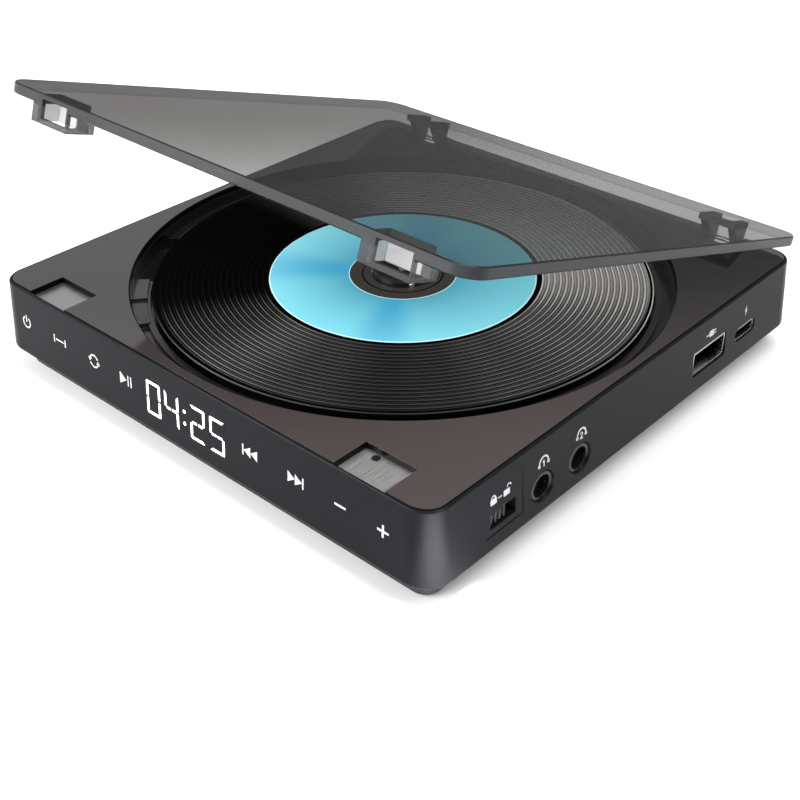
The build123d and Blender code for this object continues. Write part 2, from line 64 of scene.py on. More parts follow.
# Signs on the front face: x is from the case's middle, z is over the ground.
STROKE = 0.38                                      # width of the key signs' strokes
KEY_Z = 15.3
KEY_X = {"power": -58.2, "span": -45.0, "loop": -31.9, "play": -20.3,
         "back": 20.3, "next": 33.4, "minus": 45.8, "plus": 57.0}
DIGIT_LOW, DIGIT_HIGH, DIGIT_WIDE = 10.4, 18.7, 4.6
SEGMENT, SEGMENT_GAP = 0.66, 0.12                  # a segment's width, and the gap at its ends
DASH_GAP = 0.22                                    # half the gap in a digit's middle bar
DIGIT_LEFTS = ((0, -13.0), (4, -6.9), (2, 1.6), (5, 7.8))
COLON_X, COLON_Z, COLON_RADIUS = -0.35, (13.0, 16.0), 0.45

# Signs on the right face: y is from the case's middle, z is over the ground.
HEADPHONE_Y, HEADPHONE_Z, NUMBER_Z = (-34.1, -21.4), 17.8, 17.6
LOCK_Y, LOCK_Z = (-49.9, -45.9), 17.8              # the shut and the open padlock
BOLT_Y, BOLT_Z = 44.8, 18.2
PLUG_Y, PLUG_Z = 29.2, 19.0

# Disc, hub and data socket
DISC_RADIUS, DISC_THICKNESS, DISC_HOLE = 60.0, 1.2, 7.5
LABEL_IN, LABEL_OUT = 13.1, 32.0
GROOVE_FIRST, GROOVE_PITCH, GROOVE_COUNT = 33.55, 1.42, 18
TRIM_IN, TRIM_OUT = 3.2, 3.9                       # ring on the hub's boss
CONTACTS, CONTACT_HALF = 4, 0.55                   # on the tongue of the data socket

# Camera and the spot lamp over the near corner
LENS_MM, SENSOR_MM = 58.61, 36.0
CAMERA_AT = (186.75, -205.27, 172.43)
CAMERA_AZIMUTH, CAMERA_ELEVATION, CAMERA_ROLL = 42.17, 31.33, -0.2
CAMERA_SHIFT = (-0.007, -0.0787)
SPOT_AT, SPOT_AIM = (150, -125, 340), (91, -77, 0)

# ---------------------------------------------------------------- places taken from the frame
case_lo, case_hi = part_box("case_body")
deck_lo, deck_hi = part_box("deck_cover")
disc_lo, disc_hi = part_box("disc")
case_y = (case_lo.y + case_hi.y) / 2
axis = Vector(((disc_lo.x + disc_hi.x) / 2, case_y, 0.0))
half_top = (deck_hi.x - deck_lo.x) / 2 / MM + DECK_INSET
case_top = case_hi.z / MM
hinge = next(joint for joint in frame["joints"] if joint["name"] == "lid_hinge")
lid_tilt = math.radians(-hinge["range_deg"][0])
lid_up = Vector((0.0, math.sin(lid_tilt), math.cos(lid_tilt)))
lid_forward = Vector((0.0, -math.cos(lid_tilt), math.sin(lid_tilt)))
lid_panel = nodes["lid_panel"]
lid_corners = [lid_panel.matrix_world @ vertex.co for vertex in lid_panel.data.vertices]
lid_reach = max(corner.dot(lid_forward) for corner in lid_corners)
lid_under = max(corner.dot(lid_up) for corner in lid_corners) - LID_THICKNESS * MM


def at(x, y, z):
    """A point in millimetres about the case's centre line, in the row frame in metres."""
    return Vector((x * MM, y * MM + case_y, z * MM))


def wall_at(z):
    """Distance of the drafted case wall from the centre, in mm, at height z."""
    return half_top + (case_top - z) * WALL_SPREAD / WALL_HEIGHT


# ---------------------------------------------------------------- node graphs
WHITE = (1, 1, 1, 1)


def grey(level):
    """A neutral tone."""
    return (level, level, level)


class Graph:
    """A material's node tree, with short calls for adding nodes and linking them."""

    def __init__(self, name):
        self.material = bpy.data.materials.new(name)
        self.material.use_nodes = True
        self.tree = self.material.node_tree
        self.tree.nodes.clear()
        self.output = self.tree.nodes.new("ShaderNodeOutputMaterial")
        self.coords = self.add("TexCoord")

    def put(self, socket, value):
        """Links another node's socket to this one, or sets its value; None leaves it as it is."""
        if isinstance(value, bpy.types.NodeSocket):
            self.tree.links.new(value, socket)
        elif value is not None:
            socket.default_value = value

    def add(self, kind, inputs=None, **settings):
        """Adds a shader node; its inputs are given by name or by number."""
        node = self.tree.nodes.new("ShaderNode" + kind)
        for key, value in settings.items():
            setattr(node, key, value)
        for key, value in (inputs or {}).items():
            self.put(node.inputs[key], value)
        return node

    def position(self):
        """The point on the piece, in the piece's own frame."""
        return self.coords.outputs["Object"]

    def normal(self):
        """The way the surface faces, in the piece's own frame."""
        return self.coords.outputs["Normal"]

    def split(self, vector):
        """The x, y and z of a vector."""
        return self.add("SeparateXYZ", {"Vector": vector}).outputs[:]

    def noise(self, size_mm, detail=2.0, rough=0.55, stretch=None):
        """Noise with blobs of about size_mm; stretch scales it along x, y and z."""
        where = self.position()
        if stretch:
            where = self.add("Mapping", {"Vector": where, "Scale": stretch}).outputs["Vector"]
        inputs = {"Vector": where, "Scale": 1 / (size_mm * MM), "Detail": detail, "Roughness": rough}
        return self.add("TexNoise", inputs).outputs["Fac"]

    def math(self, operation, *values):
        """A Math node on numbers or sockets."""
        return self.add("Math", dict(enumerate(values)), operation=operation).outputs[0]

    def dot(self, first, second):
        """Dot product of two vectors."""
        return self.add("VectorMath", {0: first, 1: second}, operation="DOT_PRODUCT").outputs["Value"]

    def length(self, x, y):
        """Length of a level step."""
        return self.math("SQRT", self.math("ADD", self.math("MULTIPLY", x, x), self.math("MULTIPLY", y, y)))

    def remap(self, value, low, high, to_low, to_high, shape="LINEAR"):
        """Takes low..high to to_low..to_high and holds the ends beyond them."""
        inputs = {"Value": value, "From Min": low, "From Max": high, "To Min": to_low, "To Max": to_high}
        return self.add("MapRange", inputs, interpolation_type=shape).outputs["Result"]

    def mix(self, factor, first, second):
        """Mixes two colours, each a socket or three numbers; 6, 7 and 2 are the colour sockets."""
        first, second = (c if isinstance(c, bpy.types.NodeSocket) else (*c, 1.0) for c in (first, second))
        return self.add("Mix", {0: factor, 6: first, 7: second}, data_type="RGBA").outputs[2]

    def bevel(self, radius_mm):
        """The normal with edges rounded by radius_mm."""
        return self.add("Bevel", {"Radius": radius_mm * MM}, samples=4).outputs["Normal"]

    def bump(self, height, depth_mm, edge_mm=0.0):
        """The normal of a fine relief, with edges rounded by edge_mm."""
        rounded = self.bevel(edge_mm) if edge_mm else None
        inputs = {"Strength": 1.0, "Distance": depth_mm * MM, "Height": height, "Normal": rounded}
        return self.add("Bump", inputs).outputs["Normal"]

    def edge_mask(self, radius_mm):
        """Near 1 along edges, 0 on open surfaces."""
        true_normal = self.add("NewGeometry").outputs["Normal"]
        return self.remap(self.dot(self.bevel(radius_mm), true_normal), 0.995, 0.8, 0.0, 1.0)

    def blend(self, factor, first, second):
        """Mixes two shader nodes."""
        return self.add("MixShader", {0: factor, 1: first.outputs[0], 2: second.outputs[0]})

    def surface(self, shader):
        """Makes a shader node the material's surface."""
        self.tree.links.new(shader.outputs[0], self.output.inputs["Surface"])

    def shade(self, **inputs):
        """Makes a Principled surface; spaces in the names of its inputs are written as _."""
        named = {key.replace("_", " "): value for key, value in inputs.items()}
        self.surface(self.add("BsdfPrincipled", named))

    def dull(self, colour, rough, normal, gloss):
        """A surface that hardly brightens at a shallow angle: diffuse with a small gloss share."""
        diffuse = self.add("BsdfDiffuse", {"Color": colour, "Roughness": 0.3, "Normal": normal})
        glossy = self.add("BsdfGlossy", {"Color": WHITE, "Roughness": rough, "Normal": normal})
        self.surface(self.blend(gloss, diffuse, glossy))

    def polar(self):
        """Distance from the disc's axis, in mm, and the angle round it."""
        x, y, _ = self.split(self.position())
        x, y = self.math("SUBTRACT", x, axis.x), self.math("SUBTRACT", y, axis.y)
        return self.math("DIVIDE", self.length(x, y), MM), self.math("ARCTAN2", y, x)


# ---------------------------------------------------------------- materials
def moulded(name, dark, light, rough, grain_mm, depth_mm, edge_mm=0.25, worn=None,
            spec=0.5, coat=0.0, spread=0.08):
    """Moulded plastic or rubber: two close tones, fine grain, softened and slightly worn edges."""
    g = Graph(name)
    broad = g.noise(14.0, 3.0)
    fine = g.noise(grain_mm, 3.0, 0.7)
    colour = g.mix(g.math("MULTIPLY_ADD", broad, 0.6, g.math("MULTIPLY", fine, 0.4)), dark, light)
    if worn:
        patches = g.remap(g.noise(2.5, 4.0), 0.35, 0.75, 0.15, 0.9)
        colour = g.mix(g.math("MULTIPLY", g.edge_mask(0.35), patches), colour, worn)
    smear = g.noise(9.0, 4.0, 0.65)
    uneven = g.math("MULTIPLY_ADD", smear, 0.5, g.math("MULTIPLY", fine, 0.5))
    roughness = g.remap(uneven, 0.3, 0.7, rough - spread, rough + spread)
    g.shade(Base_Color=colour, Roughness=roughness, Normal=g.bump(fine, depth_mm, edge_mm),
            Specular_IOR_Level=spec, Coat_Weight=coat, Coat_Roughness=0.08)
    return g.material


def metal(name, dark, light, rough, stretch=(1, 1, 1), depth_mm=0.004, edge_mm=0.15, size_mm=0.4):
    """Metal with a drawn or ground grain and faint smears."""
    g = Graph(name)
    grain = g.noise(size_mm, 4.0, 0.7, stretch)
    smear = g.noise(5.0, 3.0)
    colour = g.mix(g.math("MULTIPLY_ADD", grain, 0.5, g.math("MULTIPLY", smear, 0.5)), dark, light)
    g.shade(Base_Color=colour, Roughness=g.remap(grain, 0.3, 0.7, rough - 0.07, rough + 0.1),
            Metallic=1.0, Normal=g.bump(grain, depth_mm, edge_mm))
    return g.material


def pocket_metal():
    """Brushed floor of the catch pockets, painted darker in the left-hand pocket as painted shade."""
    g = Graph("pocket_plate")
    grain = g.noise(0.4, 4.0, 0.7, (1.0, 0.08, 1.0))
    x, _, _ = g.split(g.position())
    # Painted shade: the left-hand pocket is painted darker than the right; worn here holds this painted shade, not
    # wear.
    worn = g.mix(g.remap(x, -20 * MM, 20 * MM, 0.0, 1.0), (0.30, 0.30, 0.31), (0.62, 0.595, 0.58))
    colour = g.mix(g.math("MULTIPLY", grain, 0.35), worn, (0.45, 0.44, 0.43))
    g.shade(Base_Color=colour, Roughness=g.remap(grain, 0.3, 0.7, 0.3, 0.46), Metallic=1.0,
            Normal=g.bump(grain, 0.004, 0.15))
    return g.material


def socket_metal(name, dark, light, rough):
    """Plated socket shell, bright at its mouth and dull with shade further in."""
    g = Graph(name)
    grain = g.noise(0.4, 4.0, 0.7)
    x, _, _ = g.split(g.position())
    wall = wall_at(SOCKET_Z)
    mouth = g.remap(x, (wall - SOCKET_SHADE) * MM, (wall - 0.3) * MM, 0.0, 1.0)
    colour = g.mix(g.math("POWER", mouth, 1.6), (0.05, 0.047, 0.043), g.mix(grain, dark, light))
    g.shade(Base_Color=colour, Roughness=g.remap(grain, 0.3, 0.7, rough - 0.07, rough + 0.1),
            Metallic=1.0, Normal=g.bump(grain, 0.004, 0.15))
    return g.material


def gloss_deck():
    """Polished piano-black cover with hairline swirls and dust, a painted reflection warming it towards its front
    right, and painted shade on its upright walls.
    """
    g = Graph("deck_gloss")
    broad = g.noise(30.0, 2.0)
    dust = g.remap(g.noise(0.25, 2.0, 0.8), 0.72, 0.8, 0.0, 0.35)
    x, y, _ = g.split(g.position())
    # Painted reflection: the colour turns lighter and warmer towards the front right, standing in for the lid's
    # underside mirrored there.
    near = g.remap(g.math("SUBTRACT", x, y), 10 * MM, 100 * MM, 0.0, 1.0)
    colour = g.mix(near, (0.006, 0.0065, 0.008), (0.038, 0.029, 0.0285))
    colour = g.mix(g.math("MULTIPLY", broad, 0.2), colour, (0.03, 0.028, 0.027))
    colour = g.mix(dust, colour, (0.04, 0.038, 0.036))
    # Painted shade: upright faces such as the pocket walls are painted near-black and lose most of their gloss.
    _, _, facing_up = g.split(g.normal())
    painted_shade_walls = g.remap(facing_up, 0.99, 0.9, 0.0, 1.0)
    colour = g.mix(painted_shade_walls, colour, grey(0.003))
    hair = g.noise(0.35, 4.0, 0.8, (1.0, 0.06, 1.0))
    cross = g.noise(0.35, 4.0, 0.8, (0.07, 1.0, 1.0))
    roughness = g.remap(g.math("MAXIMUM", hair, cross), 0.5, 0.8, 0.07, 0.13)
    g.shade(Base_Color=colour, Roughness=roughness, Normal=g.bump(g.noise(18.0, 1.0), 0.004, 0.15),
            Specular_IOR_Level=g.remap(painted_shade_walls, 0.0, 1.0, 0.5, 0.03))
    return g.material


def lid_faces(g, thin, left, right):
    """The lid's broad faces: clear and tinted, with dust and scratches; the tint is painted light at the right
    front and painted shade to the left.
    """
    smear = g.noise(12.0, 4.0, 0.6)
    scratch = g.noise(0.5, 3.0, 0.8, (1.0, 0.05, 1.0))
    x, y, _ = g.split(g.position())
    # Painted light and shade: the tint is lightest round the painted light spot and darker towards the left.
    away = g.length(g.math("SUBTRACT", x, PAINTED_LIGHT_X * MM), g.math("SUBTRACT", y, PAINTED_LIGHT_Y * MM))
    painted_light_fade = g.remap(away, 5 * MM, 62 * MM, 0.0, 1.0, "SMOOTHSTEP")
    painted_shade_left = g.remap(x, -50 * MM, 25 * MM, 1.0, 0.0, "SMOOTHSTEP")
    cover = g.math("MULTIPLY_ADD", smear, 0.08, g.math("MULTIPLY", painted_light_fade, 0.92))
    tint = g.mix(cover, thin, g.mix(painted_shade_left, right, left))
    tint = g.mix(g.edge_mask(0.3), tint, grey(0.03))
    see = g.add("BsdfTransparent", {"Color": tint})
    dust = g.add("BsdfDiffuse", {"Color": (0.4, 0.39, 0.38, 1)})
    clear = g.blend(g.remap(smear, 0.3, 0.7, 0.015, 0.025), see, dust)
    gloss = g.add("BsdfGlossy", {"Color": WHITE, "Roughness": g.remap(scratch, 0.5, 0.8, 0.04, 0.06)})
    facing = g.add("LayerWeight", {"Blend": 0.5}).outputs["Facing"]
    glance = g.math("MULTIPLY_ADD", g.math("POWER", facing, 5.0), 0.03, 0.012)
    return g.blend(glance, clear, gloss)


def lid_edges(g, tone, bevel):
    """The lid's frosted edges, black along their bevels, with painted shade on the faces that face right, and its
    catches with a light window each.
    """
    grain = g.noise(0.2, 3.0, 0.7)
    height = g.dot(g.position(), lid_up)
    in_catch = g.remap(height, lid_under - 0.25 * MM, lid_under - 0.35 * MM, 0.0, 1.0)
    behind = g.math("SUBTRACT", lid_reach, g.dot(g.position(), lid_forward))
    x, _, _ = g.split(g.position())
    aside = g.math("ABSOLUTE", g.math("SUBTRACT", g.math("ABSOLUTE", x), CATCH_X * MM))
    in_width = g.remap(aside, CATCH_WINDOW * MM, (CATCH_WINDOW + 0.1) * MM, 1.0, 0.0)
    in_depth = g.remap(behind, CATCH_FRONT * MM, (CATCH_FRONT + 0.2) * MM, 0.0, 1.0)
    window = g.math("MULTIPLY", g.math("MULTIPLY", in_width, in_depth), in_catch)
    right_facing_for_shade, _, _ = g.split(g.normal())
    colour = g.mix(grain, [c * 0.85 for c in tone], tone)
    # Painted shade: edge faces that face right are painted darker, towards black.
    colour = g.mix(g.remap(right_facing_for_shade, 0.6, 0.95, 0.0, 0.8), colour, grey(0.004))
    colour = g.mix(in_catch, colour, (0.03, 0.031, 0.033))
    colour = g.mix(window, colour, (0.5, 0.5, 0.495))
    colour = g.mix(g.math("MAXIMUM", bevel, g.edge_mask(0.28)), colour, grey(0.003))
    solid = g.math("SUBTRACT", g.remap(bevel, 0.0, 1.0, 0.96, 0.99), g.math("MULTIPLY", in_catch, 0.2))
    alpha = g.math("SUBTRACT", solid, g.math("MULTIPLY", window, 0.25))
    return g.add("BsdfPrincipled", {"Base Color": colour, "Roughness": 0.35, "Alpha": alpha,
                                    "Specular IOR Level": 0.25, "Normal": g.bump(grain, 0.004)})


def smoked(name, thin, left, right, edge_tone):
    """Smoked clear plastic that lets most of the lamps' light through; thin is its lightest tint, painted light at
    the right front, and left its darker tint, painted shade.
    """
    g = Graph(name)
    flatness = g.math("ABSOLUTE", g.dot(g.normal(), lid_up))
    outside = g.math("SUBTRACT", 1.0, g.add("NewGeometry").outputs["Backfacing"])
    shown_part = g.math("MULTIPLY_ADD", outside, 0.75, 0.25)
    side = g.math("MULTIPLY", g.remap(flatness, 0.9, 0.8, 0.0, 1.0), shown_part)
    bevel = g.math("MULTIPLY", g.remap(flatness, 0.5, 0.6, 0.0, 1.0), side)
    seen = g.blend(side, lid_faces(g, thin, left, right), lid_edges(g, edge_tone, bevel))
    for_lamps = g.add("BsdfTransparent", {"Color": (0.8, 0.8, 0.8, 1)})
    g.surface(g.blend(g.add("LightPath").outputs["Is Shadow Ray"], seen, for_lamps))
    return g.material


def disc_black():
    """Pressed black disc surface."""
    g = Graph("disc_black")
    radius, _ = g.polar()
    fine = g.math("SINE", g.math("MULTIPLY", radius, 38.0))
    tone = g.remap(g.noise(6.0, 3.0), 0.3, 0.7, 0.0, 1.0)
    g.dull(g.mix(tone, (0.0006, 0.0006, 0.0007), (0.0014, 0.0014, 0.0015)),
           g.remap(g.noise(3.0, 3.0), 0.3, 0.7, 0.2, 0.3), g.bump(fine, 0.0003), 0.002)
    return g.material


def disc_painted_sheen(name, stops, warmth):
    """Groove faces with a painted highlight, a vinyl sheen; stops give how strong it is at an angle in degrees."""
    g = Graph(name)
    _, angle = g.polar()
    turn = g.math("MULTIPLY_ADD", angle, 0.5 / math.pi, 0.5)
    ramp = g.add("ValToRGB", {"Fac": turn})
    ramp.color_ramp.interpolation = "EASE"
    elements = ramp.color_ramp.elements
    for degrees, tone in stops:
        ends = {-180: elements[0], 180: elements[-1]}
        element = ends[degrees] if degrees in ends else elements.new((degrees + 180) / 360)
        element.color = (tone, tone * (1 - warmth), tone * (1 - 2 * warmth), 1.0)
    grain = g.noise(0.8, 3.0, 0.7)
    colour = g.mix(g.remap(grain, 0.3, 0.7, 0.0, 0.25), ramp.outputs["Color"], grey(0.004))
    g.dull(colour, g.remap(grain, 0.3, 0.7, 0.34, 0.46), g.bump(grain, 0.002), 0.002)
    return g.material


# Each row is the middle of a dark ray of the painted sheen and half its width, in degrees, and how deep it is.
painted_sheen_rays = ((-145.0, 24.0, 1.0), (-57.0, 20.0, 1.0), (22.0, 26.0, 0.12), (118.0, 24.0, 0.7))


def disc_label():
    """Satin blue label, deeper at the middle and along rays that are a painted reflection of its satin sheen."""
    g = Graph("disc_label")
    radius, angle = g.polar()
    # Painted reflection: the rays are dark wedges of the label's satin sheen, painted into its colour.
    ray = None
    for centre, width, depth in painted_sheen_rays:
        turn = g.math("SUBTRACT", angle, math.radians(centre))
        away = g.math("ABSOLUTE", g.math("ARCTAN2", g.math("SINE", turn), g.math("COSINE", turn)))
        one = g.math("MULTIPLY", g.remap(away, 0.0, math.radians(width), 1.0, 0.0, "SMOOTHERSTEP"), depth)
        ray = one if ray is None else g.math("MAXIMUM", ray, one)
    outward = g.remap(radius, 12.0, 31.0, 0.0, 1.0)
    base = g.mix(g.math("POWER", outward, 0.7), (0.026, 0.18, 0.26), (0.125, 0.405, 0.475))
    shadowed = g.math("MULTIPLY", ray, g.remap(radius, 12.0, 32.0, 0.95, 0.45))
    colour = g.mix(shadowed, base, (0.015, 0.2, 0.36))
    paper = g.noise(0.35, 3.0, 0.7)
    colour = g.mix(g.remap(paper, 0.3, 0.7, 0.0, 0.07), colour, (0.3, 0.75, 0.85))
    g.shade(Base_Color=colour, Roughness=g.remap(paper, 0.3, 0.7, 0.34, 0.44),
            Normal=g.bump(paper, 0.002), Specular_IOR_Level=0.35)
    return g.material


def printed(name, tone):
    """Screen-printed ink with a slightly uneven tone."""
    g = Graph(name)
    spots = g.noise(0.3, 3.0, 0.7)
    g.shade(Base_Color=g.mix(spots, [c * 0.88 for c in tone], tone),
            Roughness=g.remap(spots, 0.3, 0.7, 0.4, 0.6), Normal=g.bump(spots, 0.003))
    return g.material


def glowing(name, tone, strength):
    """Lit display segment behind a diffusing film."""
    g = Graph(name)
    film = g.noise(0.5, 2.0)
    g.shade(Base_Color=g.mix(film, [c * 0.9 for c in tone], tone), Roughness=0.5,
            Emission_Color=g.mix(film, [c * 0.93 for c in tone], tone), Emission_Strength=strength)
    return g.material


def board(name, tone, line):
    """Solder mask with faint copper tracks under it."""
    g = Graph(name)
    bricks = g.add("TexBrick", {"Vector": g.position(), "Scale": 260.0, "Mortar Size": 0.03,
                                "Color1": (*tone, 1), "Color2": (*[c * 1.25 for c in tone], 1),
                                "Mortar": (*line, 1)})
    fine = g.noise(0.3, 2.0)
    g.shade(Base_Color=g.mix(g.math("MULTIPLY", fine, 0.2), bricks.outputs["Color"], tone),
            Roughness=g.remap(fine, 0.3, 0.7, 0.3, 0.45), Normal=g.bump(bricks.outputs["Fac"], 0.02))
    return g.material


def white_paper():
    """The ground that the object stands on."""
    g = Graph("floor_paper")
    g.shade(Base_Color=g.mix(g.noise(60.0, 2.0), grey(0.66), grey(0.68)), Roughness=0.9,
            Specular_IOR_Level=0.1)
    return g.material


# ---------------------------------------------------------------- looks of the CAD nodes
# Angle round the disc in degrees, and the painted sheen there, a painted highlight on the groove faces.
crest_painted_sheen = (
    (-180, 0.0), (-125, 0.001), (-108, 0.045), (-92, 0.085), (-72, 0.04), (-52, 0.018), (-38, 0.025),
    (-20, 0.06), (5, 0.15), (32, 0.5), (60, 0.85), (110, 0.85), (150, 0.3), (180, 0.0),
)
flat_painted_sheen = (
    (-180, 0.0), (-10, 0.001), (15, 0.02), (45, 0.17), (85, 0.25), (125, 0.2), (160, 0.04), (180, 0.0),
)
satin = moulded("case_satin", (0.0034, 0.0037, 0.0048), (0.005, 0.0054, 0.0068), 0.30, 0.22, 0.003, 0.3,
                (0.012, 0.0125, 0.014), spec=0.07, spread=0.04)
# moulded: dark and light tone, roughness, size and depth of the grain, edge in mm, tone where worn.
# metal: dark and light tone, roughness, stretch and depth of the grain, edge and grain size in mm.
looks = {
    "case": satin,
    "window": satin,
    "deck": gloss_deck(),
    "well": moulded("well_gloss", (0.006, 0.006, 0.0065), (0.010, 0.010, 0.011), 0.24, 0.3, 0.002, 0.2,
                    (0.05, 0.05, 0.052)),
    "cover": moulded("cover_texture", (0.008, 0.008, 0.009), (0.013, 0.013, 0.014), 0.55, 0.35, 0.012, 0.2,
                     grey(0.03)),
    "rubber": moulded("foot_rubber", grey(0.010), grey(0.018), 0.75, 0.3, 0.02, 0.2),
    "screw": metal("black_screw", grey(0.05), grey(0.12), 0.35),
    "bright_plate": pocket_metal(),
    "black_plastic": moulded("black_plastic", grey(0.003), grey(0.006), 0.26, 0.25, 0.003, 0.2, grey(0.03),
                             spec=0.3),
    "hinge_plastic": moulded("hinge_plastic", grey(0.010), grey(0.017), 0.34, 0.25, 0.003, 0.2, grey(0.05)),
    "steel": metal("ground_steel", (0.42, 0.42, 0.43), grey(0.6), 0.25, (0.1, 1.0, 1.0)),
    "plated": socket_metal("bright_plated", (0.38, 0.37, 0.35), (0.52, 0.51, 0.49), 0.24),
    "chassis_steel": metal("zinc_sheet", (0.4, 0.41, 0.42), (0.62, 0.63, 0.64), 0.35, (1, 1, 1), 0.01, 0.2,
                           1.5),
    "alloy": metal("cast_alloy", (0.22, 0.22, 0.23), (0.34, 0.34, 0.35), 0.5, (1, 1, 1), 0.02, 0.2, 0.5),
    "white_plastic": moulded("white_plastic", (0.6, 0.6, 0.57), (0.72, 0.72, 0.69), 0.4, 0.3, 0.004, 0.2),
    "board": board("green_board", (0.01, 0.1, 0.04), (0.03, 0.2, 0.08)),
    "chip": moulded("chip_epoxy", (0.01, 0.01, 0.011), (0.02, 0.02, 0.021), 0.5, 0.2, 0.006, 0.15),
    "can": metal("capacitor_can", (0.5, 0.5, 0.52), (0.7, 0.7, 0.72), 0.3),
    "cell": moulded("battery_wrap", (0.05, 0.07, 0.14), (0.08, 0.1, 0.18), 0.3, 0.8, 0.01, 0.3,
                    (0.2, 0.22, 0.26)),
    "copper": metal("plated_copper", (0.7, 0.42, 0.18), (0.85, 0.58, 0.3), 0.3),
    "flex": moulded("amber_film", (0.35, 0.16, 0.03), (0.5, 0.26, 0.06), 0.25, 0.6, 0.004, 0.1),
    "led": moulded("display_face", (0.012, 0.012, 0.013), (0.02, 0.02, 0.021), 0.35, 0.3, 0.003, 0.2),
    # The lid's tints paint light and shade: thin is the painted light spot, left the painted shade, right the
    # lighter side.
    "smoked": smoked("smoked_lid", thin=(0.57, 0.62, 0.625), left=(0.31, 0.305, 0.30),
                     right=(0.47, 0.465, 0.46), edge_tone=(0.025, 0.026, 0.028)),
    "lens": moulded("lens_coated", (0.05, 0.06, 0.16), (0.08, 0.10, 0.22), 0.08, 0.6, 0.001, 0.1,
                    spec=0.8, coat=0.6, spread=0.03),
    "disc_black": disc_black(),
}
# In the order of BLACK, CREST, LABEL, CORE, RIM and FLAT in the disc's profile.
disc_finishes = [
    looks["disc_black"], disc_painted_sheen("disc_crest", crest_painted_sheen, 0.015), disc_label(),
    moulded("disc_core", (0.018, 0.0155, 0.014), (0.026, 0.023, 0.021), 0.3, 0.3, 0.002, spec=0.25),
    printed("label_rim", (0.42, 0.62, 0.66)), disc_painted_sheen("disc_flat", flat_painted_sheen, 0.05),
]
ink = printed("white_ink", (0.46, 0.47, 0.48))
lit = glowing("display_light", (0.93, 0.97, 1.0), 1.15)
gold = metal("contact_gold", (0.75, 0.55, 0.25), (0.95, 0.78, 0.45), 0.22)

slot_of = {part["node"]: part["material_slot"] for part in frame["record"]["subparts"]}
for name, obj in nodes.items():
    for place in obj.material_slots:
        place.material = looks[slot_of[name]]


# ---------------------------------------------------------------- mesh helpers
def keep(name, mesh, body, slot, *materials):
    """Turns a bmesh into a piece that rides on a body."""
    bmesh.ops.recalc_face_normals(mesh, faces=mesh.faces[:])
    data = bpy.data.meshes.new(name)
    mesh.to_mesh(data)
    mesh.free()
    obj = bpy.data.objects.new(name, data)
    bpy.context.scene.collection.objects.link(obj)
    for material in materials:
        data.materials.append(material)
    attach(obj, body)
    return obj


def smooth(obj, angle=35.0):
    """Smooth shading except across edges sharper than angle, in degrees."""
    data = obj.data
    data.shade_smooth()
    limit = math.radians(angle)
    mesh = bmesh.new()
    mesh.from_mesh(data)
    for edge in mesh.edges:
        edge.smooth = not (len(edge.link_faces) == 2 and edge.calc_face_angle(0.0) > limit)
    mesh.to_mesh(data)
    mesh.free()


def lathe(mesh, profile, centre, steps=288):
    """Adds a closed ring swept round the vertical through centre; its rows are (radius, z, material)."""
    rings = []
    for k in range(steps):
        turn = 2 * math.pi * k / steps
        x, y = math.cos(turn), math.sin(turn)
        rings.append([mesh.verts.new((centre.x + r * MM * x, centre.y + r * MM * y, z * MM))
                      for r, z, _ in profile])
    count = len(profile)
    for k in range(steps):
        near, far = rings[k], rings[(k + 1) % steps]
        for i in range(count):
            j = (i + 1) % count
            face = mesh.faces.new((near[i], far[i], far[j], near[j]))
            face.material_index = profile[i][2]


def block(mesh, corners):
    """Adds a closed block from the four corners of its lower face and the four above them."""
    verts = [mesh.verts.new(corner) for corner in corners]
    for quad in ((0, 1, 2, 3), (4, 5, 6, 7), (0, 1, 5, 4), (1, 2, 6, 5), (2, 3, 7, 6), (3, 0, 4, 7)):
        mesh.faces.new([verts[i] for i in quad])


def sign(mesh, outline, place, thickness=0.03):
    """Adds a thin raised plate: outline in mm on a face, place maps (u, v, out) to a point."""
    low = [mesh.verts.new(place(u, v, -0.01)) for u, v in outline]
    high = [mesh.verts.new(place(u, v, thickness)) for u, v in outline]
    count = len(outline)
    mesh.faces.new(high)
    mesh.faces.new(low[::-1])
    for i in range(count):
        j = (i + 1) % count
        mesh.faces.new((low[i], low[j], high[j], high[i]))


def signs(name, outlines, place, material):
    """Makes one piece of the outlines, printed on a face of the case."""
    mesh = bmesh.new()
    for outline in outlines:
        sign(mesh, outline, place)
    keep(name, mesh, "case", "led", material)


def on_front(u, v, out):
    """The key face: u to the right, v up."""
    return at(u, -(wall_at(v) + out), v)


def on_right(u, v, out):
    """The socket face: u towards the back, v up."""
    return at(wall_at(v) + out, u, v)


# ---------------------------------------------------------------- outlines in mm
def bar(u0, v0, u1, v1, width=STROKE):
    """A straight stroke with square ends."""
    length = math.hypot(u1 - u0, v1 - v0)
    a, b = -(v1 - v0) / length * width / 2, (u1 - u0) / length * width / 2
    return [(u0 + a, v0 + b), (u1 + a, v1 + b), (u1 - a, v1 - b), (u0 - a, v0 - b)]


def arc(u, v, radius, start, end, width=STROKE, steps=20):
    """A curved stroke between two angles in degrees."""
    turns = [math.radians(start + (end - start) * k / steps) for k in range(steps + 1)]
    outer, inner = radius + width / 2, radius - width / 2
    return ([(u + outer * math.cos(t), v + outer * math.sin(t)) for t in turns]
            + [(u + inner * math.cos(t), v + inner * math.sin(t)) for t in turns[::-1]])


def dot(u, v, radius, steps=20):
    """A filled round spot."""
    turns = [2 * math.pi * k / steps for k in range(steps)]
    return [(u + radius * math.cos(t), v + radius * math.sin(t)) for t in turns]


